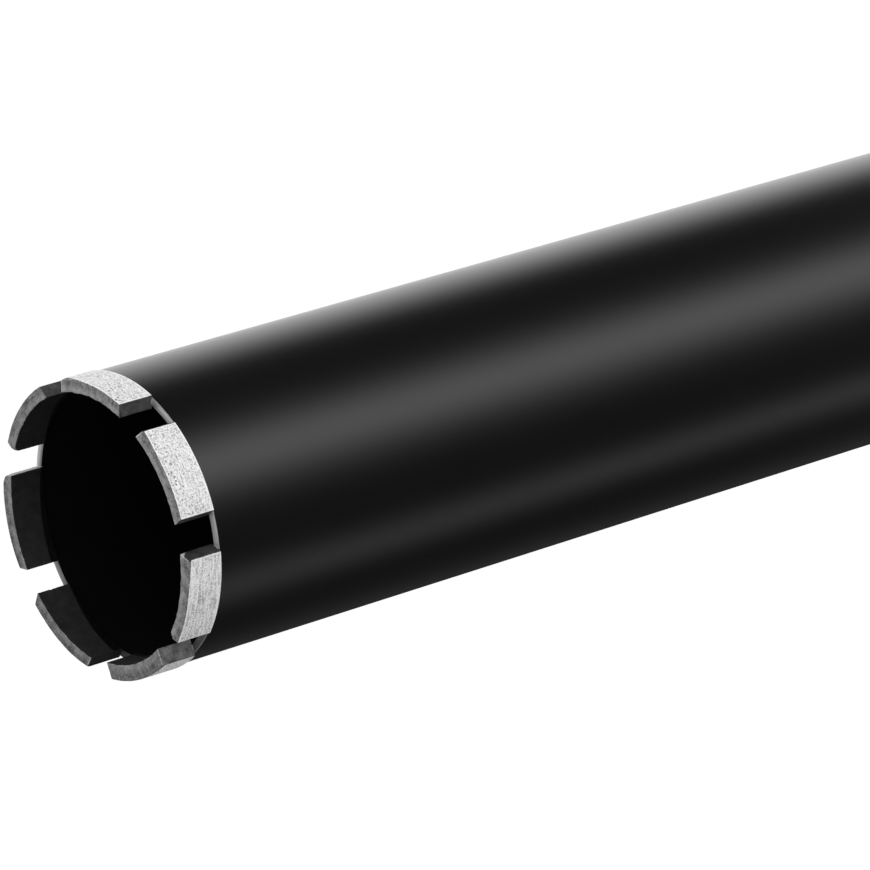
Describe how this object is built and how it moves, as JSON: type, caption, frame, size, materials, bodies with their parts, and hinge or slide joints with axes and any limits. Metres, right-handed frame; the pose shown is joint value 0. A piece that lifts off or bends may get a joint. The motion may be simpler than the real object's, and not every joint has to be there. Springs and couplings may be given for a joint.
{
  "type": "diamond core bit",
  "caption": "Long thin-walled steel tube with diamond segments on its open rim and a welded end plate with a threaded hexagon hub, for drilling round holes in concrete.",
  "frame": {"origin": "centre of the hub's seat face, which bears on the drill's spindle and which the bit stands on", "axes": "+Z along the drilling axis from the hub to the crown; +X through the middle of segment_1"},
  "size_m": [0.0766, 0.077, 0.494],
  "materials": {
    "barrel_paint": "satin black paint on a steel tube",
    "plate_paint": "satin black paint on a turned steel disc",
    "weld_metal": "rippled weld metal under the same black paint",
    "hub_steel": "turned and milled steel, painted black outside and bare at the seat face and thread",
    "segment_matrix": "sintered metal and diamond grit, ground grey, with open pores"
  },
  "bodies": {
    "root": {"threaded_hub": "hub_steel", "hub_weld": "weld_metal", "end_plate": "plate_paint", "barrel_weld": "weld_metal", "barrel": "barrel_paint", "segment_1": "segment_matrix", "segment_2": "segment_matrix", "segment_3": "segment_matrix", "segment_4": "segment_matrix", "segment_5": "segment_matrix", "segment_6": "segment_matrix", "segment_7": "segment_matrix"}
  },
  "joints": []
}
